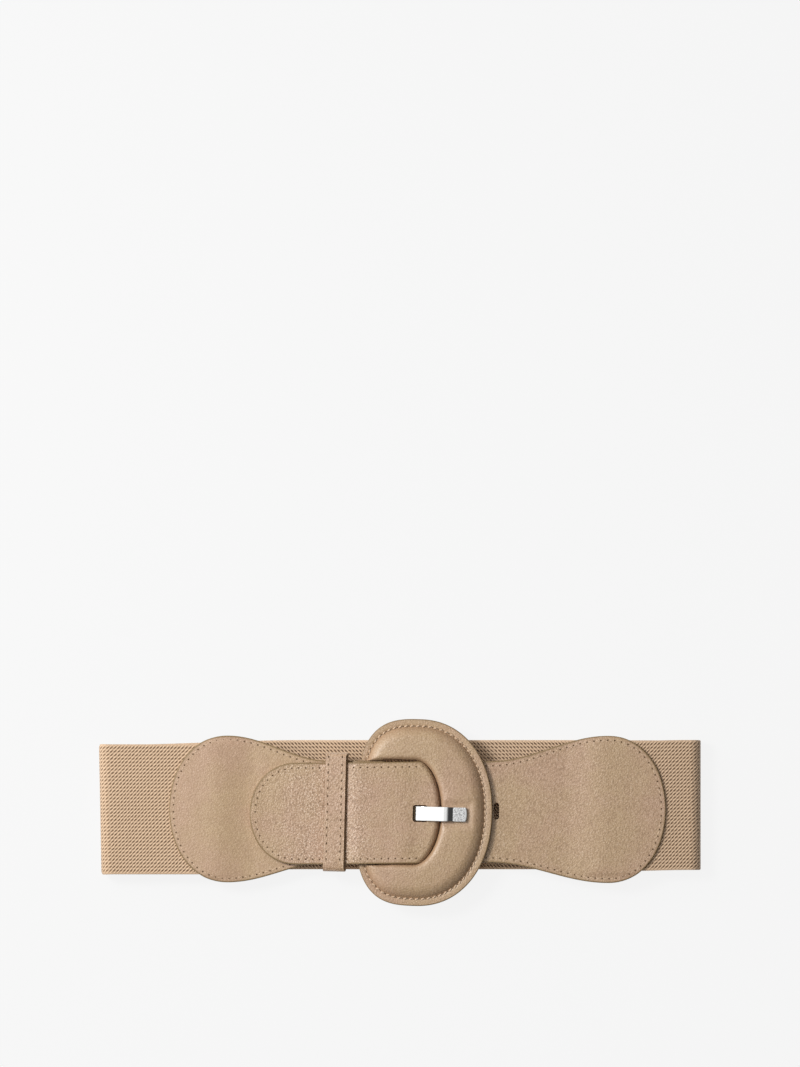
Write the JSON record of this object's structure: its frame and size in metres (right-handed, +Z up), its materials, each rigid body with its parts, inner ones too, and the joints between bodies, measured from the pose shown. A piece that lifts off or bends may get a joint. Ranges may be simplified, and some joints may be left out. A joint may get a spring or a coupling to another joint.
{
  "type": "elastic stretch belt",
  "caption": "Wide elastic waist belt, fastened and lying flat: leather tabs with rounded ends, a billet through a keeper, and a padded leather-covered buckle with a steel prong.",
  "frame": {"origin": "centre of the outline seen from above, on the surface that the belt lies on", "axes": "+X along the belt from the buckle's tab towards the other tab, +Y across the belt, +Z up, buckle side up"},
  "size_m": [0.348, 0.1077, 0.0211],
  "materials": {
    "elastic": "ribbed twill elastic webbing, matt",
    "leather": "soft waxed leather, mottled tan, satin",
    "steel": "plated steel, polished with a satin end"
  },
  "bodies": {
    "root": {"elastic_band": "elastic", "left_tab_front": "leather", "left_tab_back": "leather", "right_tab_front": "leather", "right_tab_back": "leather", "buckle_plate": "leather", "buckle_cover": "leather", "prong": "steel", "keeper": "leather"}
  },
  "joints": []
}
